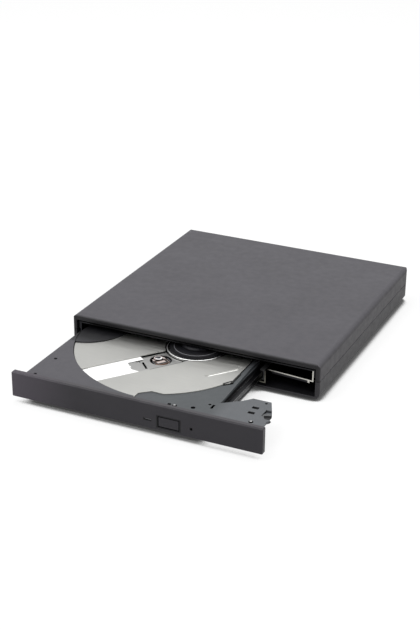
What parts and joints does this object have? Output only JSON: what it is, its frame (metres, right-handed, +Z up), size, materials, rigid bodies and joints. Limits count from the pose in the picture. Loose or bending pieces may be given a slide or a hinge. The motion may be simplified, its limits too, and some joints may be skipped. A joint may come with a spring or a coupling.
{
  "type": "external disc drive",
  "caption": "Flat black external disc drive with its tray part way out: bezel with eject button, silver plate with a slanted pickup slot, turntable and slide rails.",
  "frame": {"origin": "middle of the footprint with the tray as pictured, on the surface the feet stand on", "axes": "+X to the right along the bezel, +Y from the bezel into the drive, +Z up"},
  "size_m": [0.1332, 0.198, 0.0194],
  "materials": {
    "case_plastic": "fine moulded texture, black",
    "bezel_plastic": "fine moulded texture, black",
    "button_plastic": "fine moulded texture, black",
    "tray_plastic": "fine moulded texture, dark grey",
    "dark_plastic": "plain, dark",
    "pale_plastic": "plain, ivory",
    "lamp_plastic": "clear, dark green",
    "foot_rubber": "matte",
    "damper_rubber": "matte",
    "ring_rubber": "matte",
    "screw_steel": "plated",
    "chassis_steel": "zinc plated sheet",
    "rail_steel": "satin",
    "plate_metal": "satin sheet",
    "frame_metal": "die cast, dull",
    "sled_metal": "die cast, dark",
    "pickup_sheet": "satin sheet",
    "rod_steel": "ground",
    "motor_steel": "satin",
    "rotor_steel": "bright",
    "bearing_brass": "turned",
    "coil_copper": "enamelled wire",
    "table_plastic": "fine texture, black",
    "lens_glass": "coated",
    "board_laminate": "solder mask, green",
    "chip_plastic": "moulded, black",
    "ribbon_film": "film, white",
    "flex_film": "film, amber",
    "socket_metal": "plated shell",
    "spring_steel": "drawn wire"
  },
  "bodies": {
    "enclosure": {"upper_shell": "case_plastic", "lower_shell": "case_plastic", "rubber_feet": "foot_rubber", "shell_screws": "screw_steel", "drive_chassis": "chassis_steel", "drive_top_cover": "chassis_steel", "cover_screws": "screw_steel", "left_rail_guide": "pale_plastic", "right_rail_guide": "dark_plastic", "latch_post": "rail_steel", "rear_board": "board_laminate", "rear_connector": "pale_plastic", "flex_cable": "flex_film", "bridge_board": "board_laminate", "bridge_chips": "chip_plastic", "bridge_board_screws": "screw_steel", "link_connector": "dark_plastic", "usb_socket": "socket_metal", "usb_contacts": "dark_plastic", "power_jack": "dark_plastic", "power_jack_pin": "socket_metal"},
    "tray": {"tray_frame": "tray_plastic", "front_bezel": "bezel_plastic", "lamp_lens": "lamp_plastic", "traverse_cover": "plate_metal", "tray_bottom_cover": "chassis_steel", "tray_screws": "screw_steel", "pickup_cable": "ribbon_film", "traverse_frame": "frame_metal", "rubber_dampers": "damper_rubber", "damper_screws": "screw_steel", "main_rod": "rod_steel", "sub_rod": "rod_steel", "sled_motor": "motor_steel", "spindle_base": "board_laminate", "spindle_bearing": "bearing_brass", "spindle_stator": "coil_copper", "main_board": "board_laminate", "main_board_chips": "chip_plastic", "switch_board": "board_laminate", "eject_switch": "dark_plastic", "latch_solenoid": "coil_copper", "eject_spring": "spring_steel"},
    "left_rail": {"left_slide_rail": "rail_steel"},
    "right_rail": {"right_slide_rail": "rail_steel"},
    "button": {"eject_button": "button_plastic"},
    "latch": {"latch_lever": "dark_plastic"},
    "pusher": {"eject_pusher": "pale_plastic"},
    "spindle": {"spindle_rotor": "rotor_steel", "spindle_shaft": "rod_steel", "turntable": "table_plastic", "turntable_ring": "ring_rubber"},
    "jaw_a": {"hub_jaw_a": "dark_plastic"},
    "jaw_b": {"hub_jaw_b": "dark_plastic"},
    "jaw_c": {"hub_jaw_c": "dark_plastic"},
    "sled": {"pickup_sled": "sled_metal", "pickup_cover": "pickup_sheet"},
    "lens": {"lens_holder": "pale_plastic", "objective_lens": "lens_glass"},
    "lead_screw": {"lead_screw": "bearing_brass"}
  },
  "joints": [
    {"name": "tray_slide", "type": "slide", "parent": "enclosure", "child": "tray", "axis": [0, -1, 0], "range_m": [-0.06, 0.068], "deforming": ["flex_cable"]},
    {"name": "left_rail_slide", "type": "slide", "parent": "enclosure", "child": "left_rail", "axis": [0, -1, 0], "range_m": [-0.0372, 0.04216]},
    {"name": "right_rail_slide", "type": "slide", "parent": "enclosure", "child": "right_rail", "axis": [0, -1, 0], "range_m": [-0.0372, 0.04216]},
    {"name": "button_press", "type": "slide", "parent": "tray", "child": "button", "axis": [0, 1, 0], "range_m": [0, 0.0008], "stiffness_N_per_m": 900, "springref_m": -0.0005},
    {"name": "latch_turn", "type": "hinge", "parent": "tray", "child": "latch", "pos_m": [0.0574, -0.0855, 0.0113], "axis": [0, 0, 1], "range_deg": [-24, 0]},
    {"name": "pusher_slide", "type": "slide", "parent": "tray", "child": "pusher", "axis": [0, -1, 0], "range_m": [0, 0.005], "stiffness_N_per_m": 300, "springref_m": -0.004, "deforming": ["eject_spring"]},
    {"name": "turntable_spin", "type": "hinge", "parent": "tray", "child": "spindle", "pos_m": [0, -0.031, 0.012], "axis": [0, 0, 1], "continuous": true},
    {"name": "jaw_a_press", "type": "slide", "parent": "spindle", "child": "jaw_a", "axis": [-0.2588, -0.9659, 0], "range_m": [0, 0.0006], "stiffness_N_per_m": 400, "springref_m": -0.0003},
    {"name": "jaw_b_press", "type": "slide", "parent": "spindle", "child": "jaw_b", "axis": [0.9659, 0.2588, 0], "range_m": [0, 0.0006], "stiffness_N_per_m": 400, "springref_m": -0.0003},
    {"name": "jaw_c_press", "type": "slide", "parent": "spindle", "child": "jaw_c", "axis": [-0.7071, 0.7071, 0], "range_m": [0, 0.0006], "stiffness_N_per_m": 400, "springref_m": -0.0003},
    {"name": "sled_slide", "type": "slide", "parent": "tray", "child": "sled", "axis": [-0.6101, -0.7923, 0], "range_m": [0, 0.034], "deforming": ["pickup_cable"]},
    {"name": "lens_focus", "type": "slide", "parent": "sled", "child": "lens", "axis": [0, 0, 1], "range_m": [-0.0004, 0.0004], "stiffness_N_per_m": 40},
    {"name": "lead_screw_turn", "type": "hinge", "parent": "tray", "child": "lead_screw", "pos_m": [-0.03419, -0.05516, 0.0085], "axis": [-0.6101, -0.7923, 0], "range_deg": [-10, 4100]}
  ],
  "couplings": [
    {"joint": "left_rail_slide", "follows": "tray_slide", "ratio": 0.62},
    {"joint": "right_rail_slide", "follows": "tray_slide", "ratio": 0.62},
    {"joint": "lead_screw_turn", "follows": "sled_slide", "rad_per_m": 2094.4}
  ]
}
